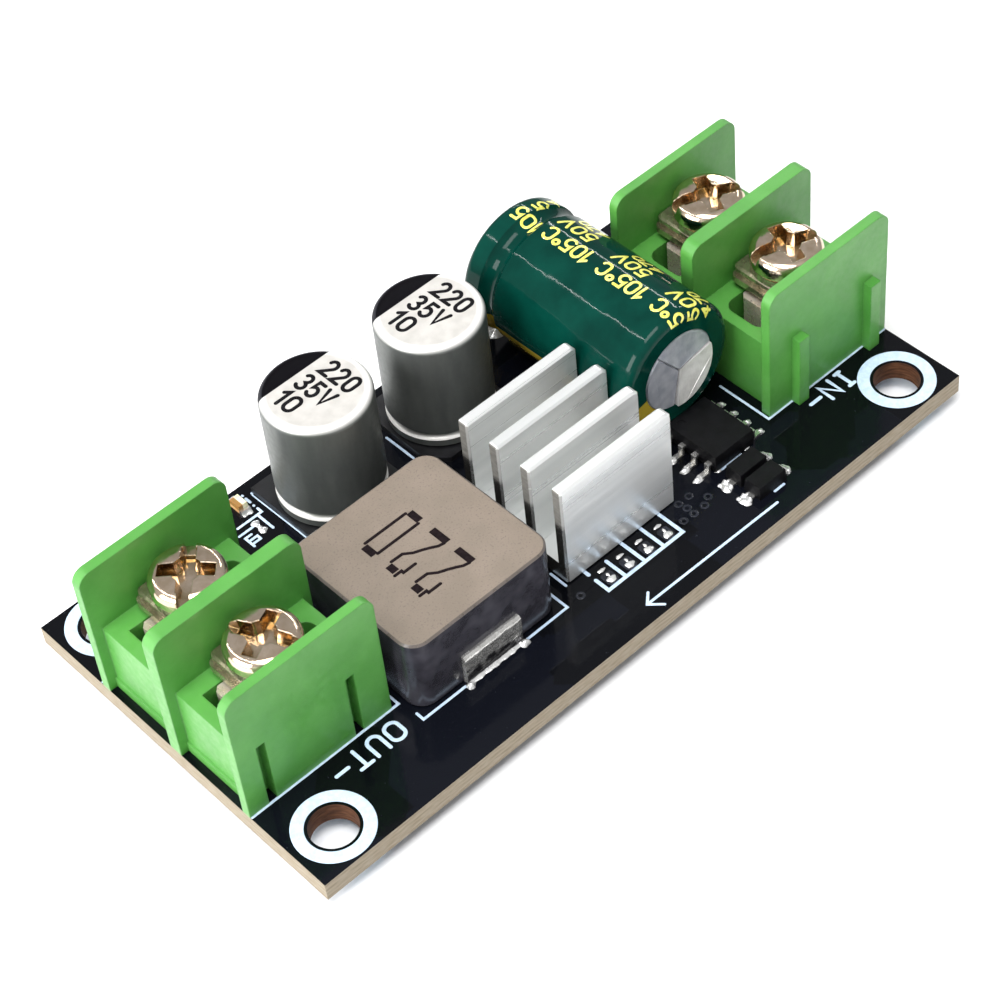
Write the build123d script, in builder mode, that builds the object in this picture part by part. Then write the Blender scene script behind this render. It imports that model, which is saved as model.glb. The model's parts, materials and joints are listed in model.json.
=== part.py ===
# Buck converter module: a small power supply board with a barrier terminal block at
# each end, a moulded inductor, a finned heatsink and three electrolytic capacitors.
# Millimetres. The origin is the middle of the board's underside, +X runs from the
# output end to the input end, +Z is up.
from build123d import *
import os

os.makedirs("parts", exist_ok=True)

# Circuit board
board_length = 60.0
board_width = 30.0
board_thickness = 1.6
mounting_hole_diameter = 3.4
mounting_hole_inset_x = 3.3
mounting_hole_inset_y = 3.0

# Terminal block: two poles between three barrier plates
pole_pitch = 7.62
block_setback = 0.0
barrier_depth = 12.1
barrier_height = 11.5
barrier_thickness = 0.8
groove_barrier_thickness = 0.75
middle_barrier_thickness = 1.15
barrier_corner_radius = 1.0
rib_side_overhang = 4.09
groove_side_overhang = 3.84
block_front_inset = 0.75
block_back_inset = 0.65
ledge_height = 6.0
foot_band_height = 0.9
foot_band_reach = 0.15
screw_setback = 6.0
recess_front_inset = 1.85
recess_back_inset = 1.55
recess_width = 3.7
recess_floor = 1.0
recess_corner_radius = 0.9
rib_width = 1.0
rib_reach = 0.75
rib_height = 6.3
rib_front_inset = 1.95
rib_back_inset = 2.75
groove_width = 0.7
groove_depth = 1.0
groove_height = 5.9

# Contact, clamp washer, spring washer and clamp screw of each pole
contact_thickness = 0.8
contact_stand_up = 0.1
contact_front_gap = 0.75
contact_back_gap = 1.5
contact_side_gap = 0.2
contact_corner_cut = 0.35
pin_width = 1.2
pin_protrusion = 1.2
pin_hole_diameter = 1.7
clamp_gap = 0.45
clamp_length = 5.4
clamp_raised_length = 4.9
clamp_side_clearance = 0.14
clamp_thickness = 0.55
clamp_raised_thickness = 0.8
clamp_corner_radius = 0.5
spring_washer_thickness = 0.6
spring_washer_diameter = 5.0
spring_washer_split = 0.35
screw_diameter = 2.9
screw_length = 6.0
screw_head_diameter = 5.3
screw_head_height = 1.7
screw_head_dome = 0.12
screw_head_edge_radius = 0.7
screw_slot_width = 0.85
screw_slot_depth = 0.85
screw_cross_span = 3.9
screw_cross_width = 1.1
screw_cross_core = 2.1
screw_cross_depth = 1.2
screw_running_clearance = 0.05
screw_bore_radial_gap = 0.1

# Moulded inductor
inductor_x = -10.6
inductor_y = -3.2
inductor_side = 12.6
inductor_top = 6.4
inductor_corner_radius = 1.4
inductor_edge_chamfer = 0.15
clip_width = 5.0
clip_height = 2.6
clip_side_thickness = 0.4
clip_foot_thickness = 0.15
clip_foot_length = 2.6
clip_bend_radius = 0.3

# Heatsink on its pad
heatsink_x = 2.5
heatsink_y = -3.53
heatsink_length = 10.3
heatsink_top = 9.1
heatsink_base_thickness = 1.5
fin_thickness = 0.95
fin_pitch = 3.03
fin_count = 4
fin_right_corner_radius = 0.6
fin_left_corner_radius = 0.2
fin_tip_chamfer = 0.15
pad_thickness = 0.15
pad_inset = 0.2

# Two surface-mount aluminium capacitors
can_positions = {"front": -8.0, "rear": 2.35}
can_y = 9.75
can_diameter = 8.0
can_top = 10.2
can_base_side = 8.3
can_base_height = 0.5
can_base_corner_cut = 1.3
can_rim_height = 0.75
can_groove_width = 0.8
can_groove_depth = 0.4
can_edge_radius = 0.5
can_lead_width = 0.8
can_lead_thickness = 0.2
can_lead_reach = 0.55
can_lead_inner = 1.4

# Lying electrolytic capacitor in its sleeve
sleeve_x = 12.78
sleeve_near_y = -4.1
sleeve_length = 16.9
sleeve_diameter = 10.15
sleeve_thickness = 0.12
sleeve_clearance = 0.02
sleeve_lift = 1.0
sleeve_edge_radius = 0.7
vent_radius = 3.22
vent_score_width = 0.16
vent_score_depth = 0.12
vent_score_angles = (10, 128, 260)
crimp_from_end = 2.6
crimp_width = 1.7
crimp_depth = 0.5
can_wall = 0.6
bung_depth = 1.5
bung_recess = 0.25
lead_pitch = 5.0
lead_diameter = 0.7
lead_bend_radius = 0.5
lead_drop = 0.5
lead_hole_diameter = 0.95
glue_left = 1.6
glue_right = 1.6
glue_side_rise = 0.35
glue_near_y = -1.4
glue_far_y = 12.2

# Controller chip
chip_x = 13.3
chip_y = -6.45
chip_width = 3.9
chip_length = 4.9
chip_height = 1.55
chip_stand_off = 0.1
chip_draft = 7.0
chip_lead_pitch = 1.27
chip_lead_count = 4
chip_lead_width = 0.42
chip_lead_thickness = 0.2
chip_lead_span = 6.0
chip_lead_foot = 0.65
chip_pin_mark_radius = 0.35
chip_pin_mark_depth = 0.06

# Two diodes beside the chip
diode_x = 13.0
diode_rows = {"upper": -10.25, "lower": -12.05}
diode_length = 2.7
diode_width = 1.55
diode_height = 1.1
diode_span = 3.7
diode_tab_width = 0.6
diode_tab_thickness = 0.15

# Indicator
indicator_x = -13.6
indicator_y = 13.5
indicator_length = 1.6
indicator_width = 0.8
indicator_base_height = 0.3
indicator_lens_length = 1.1
indicator_lens_height = 0.35
indicator_pad_length = 0.3

# Solder
joint_height = 1.0
joint_radius = 1.45
joint_tip_radius = 0.85
joint_tip_wall = 0.2
top_joint_height = 0.45
top_joint_radius = 0.8
joint_clearance = 0.02
foot_solder_reach = 0.35
clip_solder_reach = 0.6
clip_solder_height = 0.6
diode_solder_width = 1.0
diode_solder_reach = 0.5
diode_solder_height = 0.35
jumper_columns = [-0.35, 1.4, 3.2, 5.05]
jumper_y = -10.2
jumper_pad_length = 1.1
jumper_pad_width = 0.95
jumper_pad_height = 0.12

# Places that follow from the sizes above
board_top = board_thickness
barrier_front = board_length / 2 - block_setback
barrier_back = barrier_front - barrier_depth
block_front = barrier_front - block_front_inset
block_back = barrier_back + block_back_inset
ledge_top = board_top + ledge_height
rib_face = pole_pitch / 2 + rib_side_overhang
groove_face = pole_pitch / 2 + groove_side_overhang
groove_face_inner = groove_face - groove_barrier_thickness
screw_axis = barrier_front - screw_setback
recess_front = barrier_front - recess_front_inset
recess_back = barrier_back + recess_back_inset
contact_width = recess_width - 2 * contact_side_gap
contact_front = recess_front - contact_front_gap
contact_back = recess_back + contact_back_gap
contact_top = ledge_top + contact_stand_up
contact_under = contact_top - contact_thickness
floor_top = board_top + recess_floor
pin_x = contact_back + contact_thickness / 2
pin_bottom = -pin_protrusion
clamp_width = 2 * (groove_face_inner - pole_pitch / 2 - clamp_side_clearance)
clamp_under = contact_top + clamp_gap
spring_under = clamp_under + clamp_thickness + clamp_raised_thickness
head_under = spring_under + spring_washer_thickness
screw_tip = head_under - screw_length
screw_radius = screw_diameter / 2
contact_bore = screw_radius + screw_running_clearance
clamp_bore = screw_radius + screw_bore_radial_gap
can_radius = can_diameter / 2
sleeve_radius = sleeve_diameter / 2
sleeve_axis_z = board_top + sleeve_lift + sleeve_radius
sleeve_inner = sleeve_radius - sleeve_thickness
body_radius = sleeve_inner - sleeve_clearance
sleeve_far_y = sleeve_near_y + sleeve_length
body_near_y = sleeve_near_y + sleeve_thickness
body_far_y = sleeve_far_y - sleeve_thickness
crimp_y = sleeve_far_y - crimp_from_end
bung_radius = body_radius - can_wall
bung_face_y = body_far_y - bung_recess
lead_y = sleeve_far_y + lead_drop
lead_positions = [sleeve_x - lead_pitch / 2, sleeve_x + lead_pitch / 2]

# Each pole: its name, the way its block is turned, its place and its screw's angle
poles = [
    ("output_negative", 1, -pole_pitch / 2, -64.0),
    ("output_positive", 1, pole_pitch / 2, 45.0),
    ("input_negative", -1, pole_pitch / 2, 160.0),
    ("input_positive", -1, -pole_pitch / 2, 154.0),
]


def flat_at(turn, height):
    """Level plane at a height; turn is 1 at the output end and -1 at the input end."""
    return Plane(origin=(0, 0, height), x_dir=(turn, 0, 0), z_dir=(0, 0, 1))


def upright_at(turn, y):
    """Upright plane across the block, with its own y axis pointing up."""
    return Plane(origin=(0, turn * y, 0), x_dir=(turn, 0, 0), z_dir=(0, -turn, 0))


def pole_plane(turn, y, height, angle=0.0):
    """Level plane centred on the screw of one pole, turned by an angle."""
    place = Plane(origin=(-turn * screw_axis, turn * y, height), x_dir=(turn, 0, 0), z_dir=(0, 0, 1))
    return place.rotated((0, 0, angle))


def save(part, name):
    """Write one piece as its own STEP file."""
    part.label = name
    export_step(part, "parts/" + name + ".step")


# Board with its mounting holes, pin holes and lead holes
with BuildPart() as board:
    with BuildSketch(Plane.XY):
        Rectangle(board_length, board_width)
        hole_spacing_x = board_length - 2 * mounting_hole_inset_x
        hole_spacing_y = board_width - 2 * mounting_hole_inset_y
        with GridLocations(hole_spacing_x, hole_spacing_y, 2, 2):
            Circle(mounting_hole_diameter / 2, mode=Mode.SUBTRACT)
        for name, turn, y, angle in poles:
            with Locations((-turn * pin_x, turn * y)):
                Circle(pin_hole_diameter / 2, mode=Mode.SUBTRACT)
        for x in lead_positions:
            with Locations((x, lead_y)):
                Circle(lead_hole_diameter / 2, mode=Mode.SUBTRACT)
    extrude(amount=board_thickness)
save(board.part, "circuit_board")


def terminal_housing(turn):
    """Moulded block with three barrier plates, a recess per pole, ribs and grooves."""
    plates = [
        (-groove_face, groove_barrier_thickness),
        (-middle_barrier_thickness / 2, middle_barrier_thickness),
        (rib_face - barrier_thickness, barrier_thickness),
    ]
    with BuildPart() as housing:
        with BuildSketch(flat_at(turn, board_top)):
            with Locations((-(block_front + block_back) / 2, (rib_face - groove_face) / 2)):
                Rectangle(block_front - block_back, rib_face + groove_face)
        extrude(amount=ledge_height)
        with BuildSketch(flat_at(turn, board_top)):
            with Locations((-(block_front + foot_band_reach / 2), (rib_face - groove_face) / 2)):
                Rectangle(foot_band_reach, rib_face + groove_face)
        extrude(amount=foot_band_height)
        for start, thickness in plates:
            with BuildSketch(upright_at(turn, start)) as plate:
                with Locations((-(barrier_front + barrier_back) / 2, board_top + barrier_height / 2)):
                    Rectangle(barrier_depth, barrier_height)
                fillet(plate.vertices().group_by(Axis.Y)[-1], radius=barrier_corner_radius)
            extrude(amount=-thickness)
        with BuildSketch(flat_at(turn, board_top)):
            for x in (barrier_front - rib_front_inset, barrier_back + rib_back_inset):
                with Locations((-x, rib_face + rib_reach / 2)):
                    Rectangle(rib_width, rib_reach)
        extrude(amount=rib_height)
        with BuildSketch(flat_at(turn, board_top)):
            for x in (barrier_front - rib_front_inset, barrier_back + rib_back_inset):
                with Locations((-x, -groove_face + groove_depth / 2)):
                    Rectangle(groove_width, groove_depth)
        extrude(amount=groove_height, mode=Mode.SUBTRACT)
        for side in (-1, 1):
            with BuildSketch(flat_at(turn, ledge_top)) as recess:
                with Locations((-(recess_front + recess_back) / 2, side * pole_pitch / 2)):
                    Rectangle(recess_front - recess_back, recess_width)
                fillet(recess.vertices().group_by(Axis.X)[-1], radius=recess_corner_radius)
            extrude(amount=-(ledge_height - recess_floor), mode=Mode.SUBTRACT)
            with BuildSketch(flat_at(turn, board_top)):
                with Locations((-pin_x, side * pole_pitch / 2)):
                    Rectangle(contact_thickness, pin_width)
            extrude(amount=recess_floor, mode=Mode.SUBTRACT)
    return housing.part


save(terminal_housing(1), "output_terminal_housing")
save(terminal_housing(-1), "input_terminal_housing")


def contact(turn, y):
    """Bent contact: a tapped plate, a leg down to the recess floor and a pin."""
    with BuildPart() as piece:
        with BuildSketch(flat_at(turn, contact_under)):
            with Locations((-(contact_front + contact_back) / 2, y)):
                plate = Rectangle(contact_front - contact_back, contact_width)
            chamfer(plate.vertices(), length=contact_corner_cut)
            with Locations((-screw_axis, y)):
                Circle(contact_bore, mode=Mode.SUBTRACT)
        extrude(amount=contact_thickness)
        with BuildSketch(flat_at(turn, floor_top)):
            with Locations((-pin_x, y)):
                Rectangle(contact_thickness, contact_width - 2 * contact_corner_cut)
        extrude(amount=contact_under - floor_top)
        with BuildSketch(flat_at(turn, pin_bottom)):
            with Locations((-pin_x, y)):
                Rectangle(contact_thickness, pin_width)
        extrude(amount=floor_top - pin_bottom)
    return piece.part


def clamp_washer(turn, y):
    """Square washer that presses the wire: a raised middle between dipped front and back lips."""
    with BuildPart() as piece:
        with BuildSketch(pole_plane(turn, y, clamp_under)):
            RectangleRounded(clamp_length, clamp_width, clamp_corner_radius)
            Circle(clamp_bore, mode=Mode.SUBTRACT)
        extrude(amount=clamp_thickness)
        with BuildSketch(pole_plane(turn, y, clamp_under + clamp_thickness)):
            RectangleRounded(clamp_raised_length, clamp_width, clamp_corner_radius)
            Circle(clamp_bore, mode=Mode.SUBTRACT)
        extrude(amount=clamp_raised_thickness)
        top_edges = piece.faces().sort_by(Axis.Z)[-1].outer_wire().edges()
        chamfer(top_edges, length=clamp_raised_thickness / 5)
    return piece.part


def spring_washer(turn, y, angle):
    """Split ring between the clamp washer and the screw head."""
    with BuildPart() as piece:
        with BuildSketch(pole_plane(turn, y, spring_under, angle + 70)):
            Circle(spring_washer_diameter / 2)
            Circle(clamp_bore, mode=Mode.SUBTRACT)
            with Locations((spring_washer_diameter / 4 + clamp_bore / 2, 0)):
                Rectangle(spring_washer_diameter / 2, spring_washer_split, mode=Mode.SUBTRACT)
        extrude(amount=spring_washer_thickness)
    return piece.part


def clamp_screw(turn, y, angle):
    """Pan head screw with a rounded rim and a slot over a cross recess."""
    head_radius = screw_head_diameter / 2
    head_top = head_under + screw_head_height
    bend = screw_head_edge_radius
    middle = bend * (1 - 0.5 ** 0.5)
    dome = screw_head_dome
    flat = head_radius - bend
    upright = Plane(origin=(-turn * screw_axis, turn * y, 0), x_dir=(1, 0, 0), z_dir=(0, -1, 0))
    with BuildPart() as piece:
        with BuildSketch(upright):
            with BuildLine():
                Polyline(
                    (head_radius, head_top - dome - bend),
                    (head_radius, head_under + 0.25),
                    (head_radius - 0.25, head_under),
                    (screw_radius, head_under),
                    (screw_radius, screw_tip + 0.4),
                    (screw_radius - 0.4, screw_tip),
                    (0, screw_tip),
                    (0, head_top),
                )
                ThreePointArc((0, head_top), (flat / 2, head_top - dome / 4), (flat, head_top - dome))
                ThreePointArc(
                    (flat, head_top - dome),
                    (head_radius - middle, head_top - dome - middle),
                    (head_radius, head_top - dome - bend),
                )
            make_face()
        revolve(axis=Axis((-turn * screw_axis, turn * y, 0), (0, 0, 1)))
        with BuildSketch(pole_plane(turn, y, head_top, angle)):
            Rectangle(screw_head_diameter + 1, screw_slot_width)
        extrude(amount=-screw_slot_depth, mode=Mode.SUBTRACT)
        with BuildSketch(pole_plane(turn, y, head_top, angle)):
            Rectangle(screw_cross_span, screw_cross_width)
            Rectangle(screw_cross_width, screw_cross_span)
            Circle(screw_cross_core / 2)
        extrude(amount=-screw_cross_depth, taper=9, mode=Mode.SUBTRACT)
    return piece.part


for name, turn, y, angle in poles:
    save(contact(turn, y), name + "_contact")
    save(clamp_washer(turn, y), name + "_clamp_washer")
    save(spring_washer(turn, y, angle), name + "_spring_washer")
    save(clamp_screw(turn, y, angle), name + "_screw")

# Inductor body on its two bent clips
inductor_under = board_top + clip_foot_thickness
with BuildPart() as inductor:
    with BuildSketch(Plane.XY.offset(inductor_under)):
        with Locations((inductor_x, inductor_y)):
            RectangleRounded(inductor_side, inductor_side, inductor_corner_radius)
    extrude(amount=inductor_top - clip_foot_thickness)
    chamfer(inductor.faces().sort_by(Axis.Z)[-1].edges(), length=inductor_edge_chamfer)
save(inductor.part, "inductor_body")


def inductor_clip(side):
    """Flat clip that leaves the side face and folds down and under the body."""
    face = inductor_side / 2
    outer = face + clip_side_thickness
    top = board_top + clip_height
    upright = Plane(
        origin=(inductor_x - clip_width / 2, inductor_y, 0), x_dir=(0, side, 0), z_dir=(side, 0, 0)
    )
    with BuildPart() as piece:
        with BuildSketch(upright) as profile:
            with BuildLine():
                Polyline(
                    (face - clip_foot_length, board_top),
                    (outer, board_top),
                    (outer, top),
                    (face, top),
                    (face, inductor_under),
                    (face - clip_foot_length, inductor_under),
                    close=True,
                )
            make_face()
            fillet(profile.vertices().group_by(Axis.X)[-1], radius=clip_bend_radius)
        extrude(amount=side * clip_width)
    return piece.part


save(inductor_clip(-1), "inductor_near_clip")
save(inductor_clip(1), "inductor_far_clip")

# Extruded heatsink with its pad
heatsink_width = fin_pitch * (fin_count - 1) + fin_thickness
heatsink_under = board_top + pad_thickness
with BuildPart() as pad:
    with BuildSketch(Plane.XY.offset(board_top)):
        with Locations((heatsink_x, heatsink_y)):
            Rectangle(heatsink_length - 2 * pad_inset, heatsink_width - 2 * pad_inset)
    extrude(amount=pad_thickness)
save(pad.part, "thermal_pad")

with BuildPart() as heatsink:
    with BuildSketch(Plane.XY.offset(heatsink_under)):
        with Locations((heatsink_x, heatsink_y)):
            Rectangle(heatsink_length, heatsink_width)
    extrude(amount=heatsink_base_thickness)
    fin_bottom = heatsink_under + heatsink_base_thickness
    fin_height = board_top + heatsink_top - fin_bottom
    for index in range(fin_count):
        fin_y = heatsink_y - heatsink_width / 2 + index * fin_pitch
        face = Plane(origin=(heatsink_x, fin_y, 0), x_dir=(1, 0, 0), z_dir=(0, -1, 0))
        with BuildSketch(face) as fin:
            with Locations((0, fin_bottom + fin_height / 2)):
                Rectangle(heatsink_length, fin_height)
            top_corners = fin.vertices().group_by(Axis.Y)[-1].sort_by(Axis.X)
            fillet(top_corners[0], radius=fin_left_corner_radius)
            right_corner = fin.vertices().group_by(Axis.Y)[-1].sort_by(Axis.X)[-1]
            fillet(right_corner, radius=fin_right_corner_radius)
        extrude(amount=-fin_thickness)
    tips = heatsink.faces().filter_by(Axis.Z).group_by(Axis.Z)[-1]
    chamfer(tips.edges().filter_by(Axis.X), length=fin_tip_chamfer)
save(heatsink.part, "heatsink")


# Surface-mount capacitors: base with lead channels, two flat leads and the can
def can_base(x):
    """Square base with two cut corners on its positive side and two lead channels."""
    half = can_base_side / 2
    cut = can_base_corner_cut
    with BuildPart() as piece:
        with BuildSketch(Plane.XY.offset(board_top)):
            with BuildLine():
                Polyline(
                    (x - half, can_y + half),
                    (x - half, can_y - half + cut),
                    (x - half + cut, can_y - half),
                    (x + half - cut, can_y - half),
                    (x + half, can_y - half + cut),
                    (x + half, can_y + half),
                    close=True,
                )
            make_face()
        extrude(amount=can_base_height)
        with BuildSketch(Plane.XY.offset(board_top)):
            for side in (-1, 1):
                with Locations((x, can_y + side * (can_lead_inner + half) / 2)):
                    Rectangle(can_lead_width, half - can_lead_inner)
        extrude(amount=can_lead_thickness, mode=Mode.SUBTRACT)
    return piece.part


def can_leads(x):
    """Two flat leads that run out under the base."""
    half = can_base_side / 2
    outer = half + can_lead_reach
    with BuildPart() as piece:
        with BuildSketch(Plane.XY.offset(board_top)):
            for side in (-1, 1):
                with Locations((x, can_y + side * (can_lead_inner + outer) / 2)):
                    Rectangle(can_lead_width, outer - can_lead_inner)
        extrude(amount=can_lead_thickness)
    return piece.part


def can_body(x):
    """Drawn aluminium can with a rounded top edge and a bead above its bottom rim."""
    bottom = board_top + can_base_height
    top = board_top + can_top
    rim = bottom + can_rim_height
    waist = rim + can_groove_width / 2
    shoulder = rim + can_groove_width
    edge = can_edge_radius
    middle = edge * (1 - 0.5 ** 0.5)
    upright = Plane(origin=(x, can_y, 0), x_dir=(1, 0, 0), z_dir=(0, -1, 0))
    with BuildPart() as piece:
        with BuildSketch(upright):
            with BuildLine():
                Polyline((can_radius, shoulder), (can_radius, top - edge))
                ThreePointArc(
                    (can_radius, top - edge),
                    (can_radius - middle, top - middle),
                    (can_radius - edge, top),
                )
                Polyline(
                    (can_radius - edge, top),
                    (0, top),
                    (0, bottom),
                    (can_radius - 0.2, bottom),
                    (can_radius, bottom + 0.2),
                    (can_radius, rim),
                )
                ThreePointArc(
                    (can_radius, rim), (can_radius - can_groove_depth, waist), (can_radius, shoulder)
                )
            make_face()
        revolve(axis=Axis((x, can_y, 0), (0, 0, 1)))
    return piece.part


for place, x in can_positions.items():
    save(can_base(x), place + "_capacitor_base")
    save(can_leads(x), place + "_capacitor_leads")
    save(can_body(x), place + "_capacitor_can")

# Lying capacitor: can, rubber bung, sleeve, leads and the glue below it
lying = Plane(origin=(sleeve_x, 0, sleeve_axis_z), x_dir=(0, 1, 0), z_dir=(1, 0, 0))
lying_axis = Axis((sleeve_x, 0, sleeve_axis_z), (0, 1, 0))
crimp_start = crimp_y - crimp_width / 2
crimp_end = crimp_y + crimp_width / 2
bung_inner_y = bung_face_y - bung_depth


def shell_outline(radius, near, far, edge):
    """Rounded outline of the can or the sleeve in the upright plane through its axis."""
    middle = edge * (1 - 0.5 ** 0.5)
    ThreePointArc((near, radius - edge), (near + middle, radius - middle), (near + edge, radius))
    Line((near + edge, radius), (crimp_start, radius))
    ThreePointArc((crimp_start, radius), (crimp_y, radius - crimp_depth), (crimp_end, radius))
    Line((crimp_end, radius), (far - edge, radius))
    ThreePointArc((far - edge, radius), (far - middle, radius - middle), (far, radius - edge))


with BuildPart() as capacitor_can:
    edge = sleeve_edge_radius - sleeve_thickness
    with BuildSketch(lying):
        with BuildLine():
            shell_outline(body_radius, body_near_y, body_far_y, edge)
            Polyline(
                (body_far_y, body_radius - edge),
                (body_far_y, bung_radius),
                (bung_inner_y, bung_radius),
                (bung_inner_y, 0),
                (body_near_y, 0),
                (body_near_y, body_radius - edge),
            )
        make_face()
    revolve(axis=lying_axis)
    vent = Plane(origin=(sleeve_x, body_near_y, sleeve_axis_z), x_dir=(1, 0, 0), z_dir=(0, -1, 0))
    with BuildSketch(vent):
        for angle in vent_score_angles:
            with Locations(Location((0, 0), angle)):
                with Locations((vent_radius / 2, 0)):
                    Rectangle(vent_radius, vent_score_width)
    extrude(amount=-vent_score_depth, mode=Mode.SUBTRACT)
save(capacitor_can.part, "input_capacitor_can")

with BuildPart() as bung:
    with BuildSketch(lying):
        with Locations(((bung_inner_y + bung_face_y) / 2, (bung_radius - sleeve_clearance) / 2)):
            Rectangle(bung_depth, bung_radius - sleeve_clearance)
    revolve(axis=lying_axis)
    with BuildSketch(Plane(origin=(sleeve_x, bung_face_y, sleeve_axis_z), x_dir=(1, 0, 0), z_dir=(0, -1, 0))):
        with Locations((-lead_pitch / 2, 0), (lead_pitch / 2, 0)):
            Circle(lead_diameter / 2 + joint_clearance)
    extrude(amount=bung_depth, mode=Mode.SUBTRACT)
save(bung.part, "input_capacitor_bung")

with BuildPart() as sleeve:
    inner_edge = sleeve_edge_radius - sleeve_thickness
    with BuildSketch(lying):
        with BuildLine():
            shell_outline(sleeve_radius, sleeve_near_y, sleeve_far_y, sleeve_edge_radius)
            Polyline(
                (sleeve_far_y, sleeve_radius - sleeve_edge_radius),
                (sleeve_far_y, bung_radius),
                (body_far_y, bung_radius),
                (body_far_y, sleeve_inner - inner_edge),
            )
            Polyline(
                (sleeve_near_y, sleeve_radius - sleeve_edge_radius),
                (sleeve_near_y, vent_radius),
                (body_near_y, vent_radius),
                (body_near_y, sleeve_inner - inner_edge),
            )
            shell_outline(sleeve_inner, body_near_y, body_far_y, inner_edge)
        make_face()
    revolve(axis=lying_axis)
save(sleeve.part, "input_capacitor_sleeve")

with BuildPart() as leads:
    for x in lead_positions:
        route_plane = Plane(origin=(x, 0, 0), x_dir=(0, 1, 0), z_dir=(1, 0, 0))
        with BuildLine(route_plane) as route:
            FilletPolyline(
                (bung_inner_y, sleeve_axis_z),
                (lead_y, sleeve_axis_z),
                (lead_y, pin_bottom),
                radius=lead_bend_radius,
            )
        with BuildSketch(Plane(origin=(x, bung_inner_y, sleeve_axis_z), x_dir=(1, 0, 0), z_dir=(0, 1, 0))):
            Circle(lead_diameter / 2)
        sweep(path=route.wires()[0])
save(leads.part, "input_capacitor_leads")

with BuildPart() as glue:
    glue_top = sleeve_lift + glue_side_rise
    with BuildSketch(Plane.XY.offset(board_top)):
        with Locations((sleeve_x + (glue_right - glue_left) / 2, (glue_near_y + glue_far_y) / 2)):
            Rectangle(glue_left + glue_right, glue_far_y - glue_near_y)
    extrude(amount=glue_top)
    with BuildSketch(Plane(origin=(sleeve_x, glue_near_y, sleeve_axis_z), x_dir=(1, 0, 0), z_dir=(0, -1, 0))):
        Circle(sleeve_radius + sleeve_clearance)
    extrude(amount=-(glue_far_y - glue_near_y), mode=Mode.SUBTRACT)
save(glue.part, "capacitor_glue")

# Controller chip: body in two drafted halves, eight bent leads
chip_seam = board_top + chip_stand_off + (chip_height - chip_stand_off) / 2
with BuildPart() as chip:
    for direction in (-1, 1):
        with BuildSketch(Plane.XY.offset(chip_seam)):
            with Locations((chip_x, chip_y)):
                Rectangle(chip_width, chip_length)
        extrude(amount=direction * (chip_height - chip_stand_off) / 2, taper=chip_draft)
    mark_x = chip_x - chip_width / 2 + 0.8
    mark_y = chip_y + chip_length / 2 - 0.8
    with BuildSketch(Plane.XY.offset(board_top + chip_height)):
        with Locations((mark_x, mark_y)):
            Circle(chip_pin_mark_radius)
    extrude(amount=-chip_pin_mark_depth, mode=Mode.SUBTRACT)
save(chip.part, "controller_body")

with BuildPart() as chip_leads:
    inner = chip_width / 2
    outer = chip_lead_span / 2
    knee = outer - chip_lead_foot
    low = board_top
    level = chip_seam - chip_lead_thickness / 2
    t = chip_lead_thickness
    for side in (-1, 1):
        for index in range(chip_lead_count):
            y = chip_y + (index - (chip_lead_count - 1) / 2) * chip_lead_pitch
            start = y - side * chip_lead_width / 2
            face = Plane(origin=(chip_x, start, 0), x_dir=(side, 0, 0), z_dir=(0, -side, 0))
            with BuildSketch(face):
                with BuildLine():
                    Polyline(
                        (inner, level),
                        (knee - t, level),
                        (knee - t, low),
                        (outer, low),
                        (outer, low + t),
                        (knee, low + t),
                        (knee, level + t),
                        (inner, level + t),
                        close=True,
                    )
                make_face()
            extrude(amount=-chip_lead_width)
save(chip_leads.part, "controller_leads")


# Diodes: drafted body with a tab at each end
def diode_body(y):
    """Moulded body that narrows a little towards its top."""
    with BuildPart() as piece:
        with BuildSketch(Plane.XY.offset(board_top)):
            with Locations((diode_x, y)):
                Rectangle(diode_length, diode_width)
        extrude(amount=diode_height, taper=4)
        with BuildSketch(Plane.XY.offset(board_top)):
            with Locations((diode_x, y)):
                Rectangle(diode_length + 1, diode_tab_width)
                Rectangle(diode_length - 0.8, diode_tab_width, mode=Mode.SUBTRACT)
        extrude(amount=diode_tab_thickness, mode=Mode.SUBTRACT)
    return piece.part


def diode_tabs(y):
    """Two flat tabs at board level, let into the underside of the body."""
    with BuildPart() as piece:
        with BuildSketch(Plane.XY.offset(board_top)):
            with Locations((diode_x, y)):
                Rectangle(diode_span, diode_tab_width)
                Rectangle(diode_length - 0.8, diode_tab_width, mode=Mode.SUBTRACT)
        extrude(amount=diode_tab_thickness)
    return piece.part


for place, y in diode_rows.items():
    save(diode_body(y), place + "_diode_body")
    save(diode_tabs(y), place + "_diode_tabs")


# Indicator: base with two end pads and a clear lens
with BuildPart() as indicator:
    with BuildSketch(Plane.XY.offset(board_top)):
        with Locations((indicator_x, indicator_y)):
            Rectangle(indicator_width, indicator_length - 2 * indicator_pad_length)
    extrude(amount=indicator_base_height)
save(indicator.part, "indicator_base")

with BuildPart() as indicator_pads:
    with BuildSketch(Plane.XY.offset(board_top)):
        for side in (-1, 1):
            pad_y = indicator_y + side * (indicator_length - indicator_pad_length) / 2
            with Locations((indicator_x, pad_y)):
                Rectangle(indicator_width, indicator_pad_length)
    extrude(amount=indicator_base_height)
save(indicator_pads.part, "indicator_pads")

with BuildPart() as lens:
    with BuildSketch(Plane.XY.offset(board_top + indicator_base_height)):
        with Locations((indicator_x, indicator_y)):
            Rectangle(indicator_width, indicator_lens_length)
    extrude(amount=indicator_lens_height, taper=5)
save(lens.part, "indicator_lens")

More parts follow.
